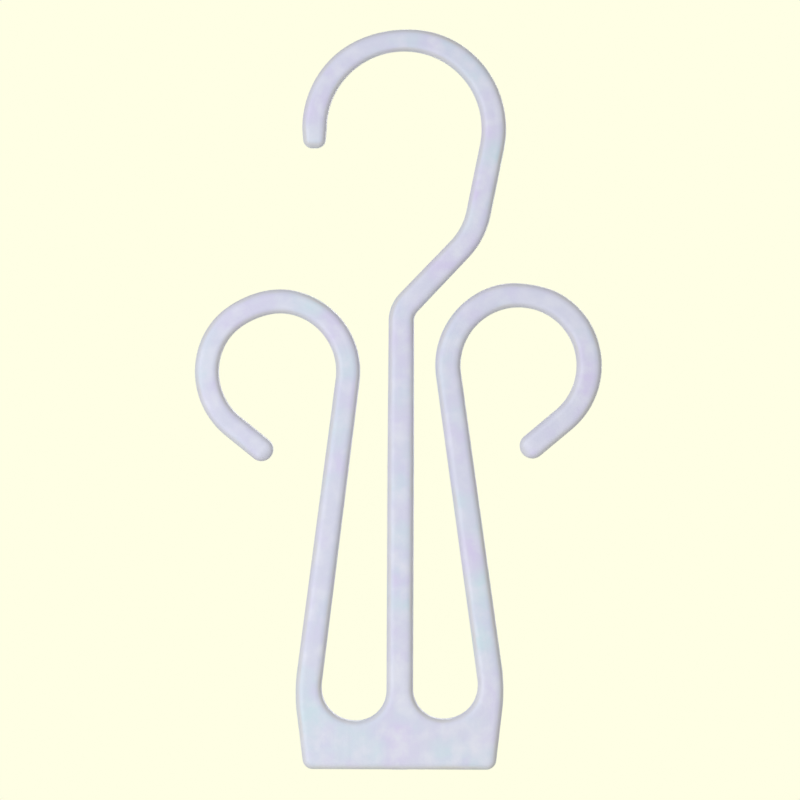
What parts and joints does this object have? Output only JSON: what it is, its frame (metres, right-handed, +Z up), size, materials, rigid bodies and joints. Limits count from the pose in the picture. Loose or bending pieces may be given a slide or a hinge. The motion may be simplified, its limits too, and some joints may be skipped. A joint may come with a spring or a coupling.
{
  "type": "slipper hanging hook",
  "caption": "Flat springy plastic hanger: a round rail hook on a bent neck and stem, and a flat foot carrying leaning side arms that curl into open slipper hooks.",
  "frame": {"origin": "inside crown of the rail hook, where the hanger sits on its rail, in the middle of the moulding's depth", "axes": "+Z up along the stem, -Y out of the front face, +X to the right of someone facing the front"},
  "size_m": [0.0838, 0.005, 0.1523],
  "materials": {
    "plastic": "satin injection-moulded polypropylene, pale lavender white"
  },
  "bodies": {
    "frame": {"foot_plate": "plastic", "stem": "plastic", "hook_neck": "plastic", "rail_hook": "plastic"},
    "left_side": {"left_arm": "plastic", "left_slipper_hook": "plastic"},
    "right_side": {"right_arm": "plastic", "right_slipper_hook": "plastic"}
  },
  "joints": [
    {"name": "left_arm_flex", "type": "hinge", "parent": "frame", "child": "left_side", "pos_m": [-0.01876, 0, -0.12699], "axis": [0, 1, 0], "range_deg": [-5, 4.5], "stiffness_Nm_per_rad": 2.5},
    {"name": "right_arm_flex", "type": "hinge", "parent": "frame", "child": "right_side", "pos_m": [0.01801, 0, -0.12699], "axis": [0, -1, 0], "range_deg": [-5, 3], "stiffness_Nm_per_rad": 2.5}
  ]
}
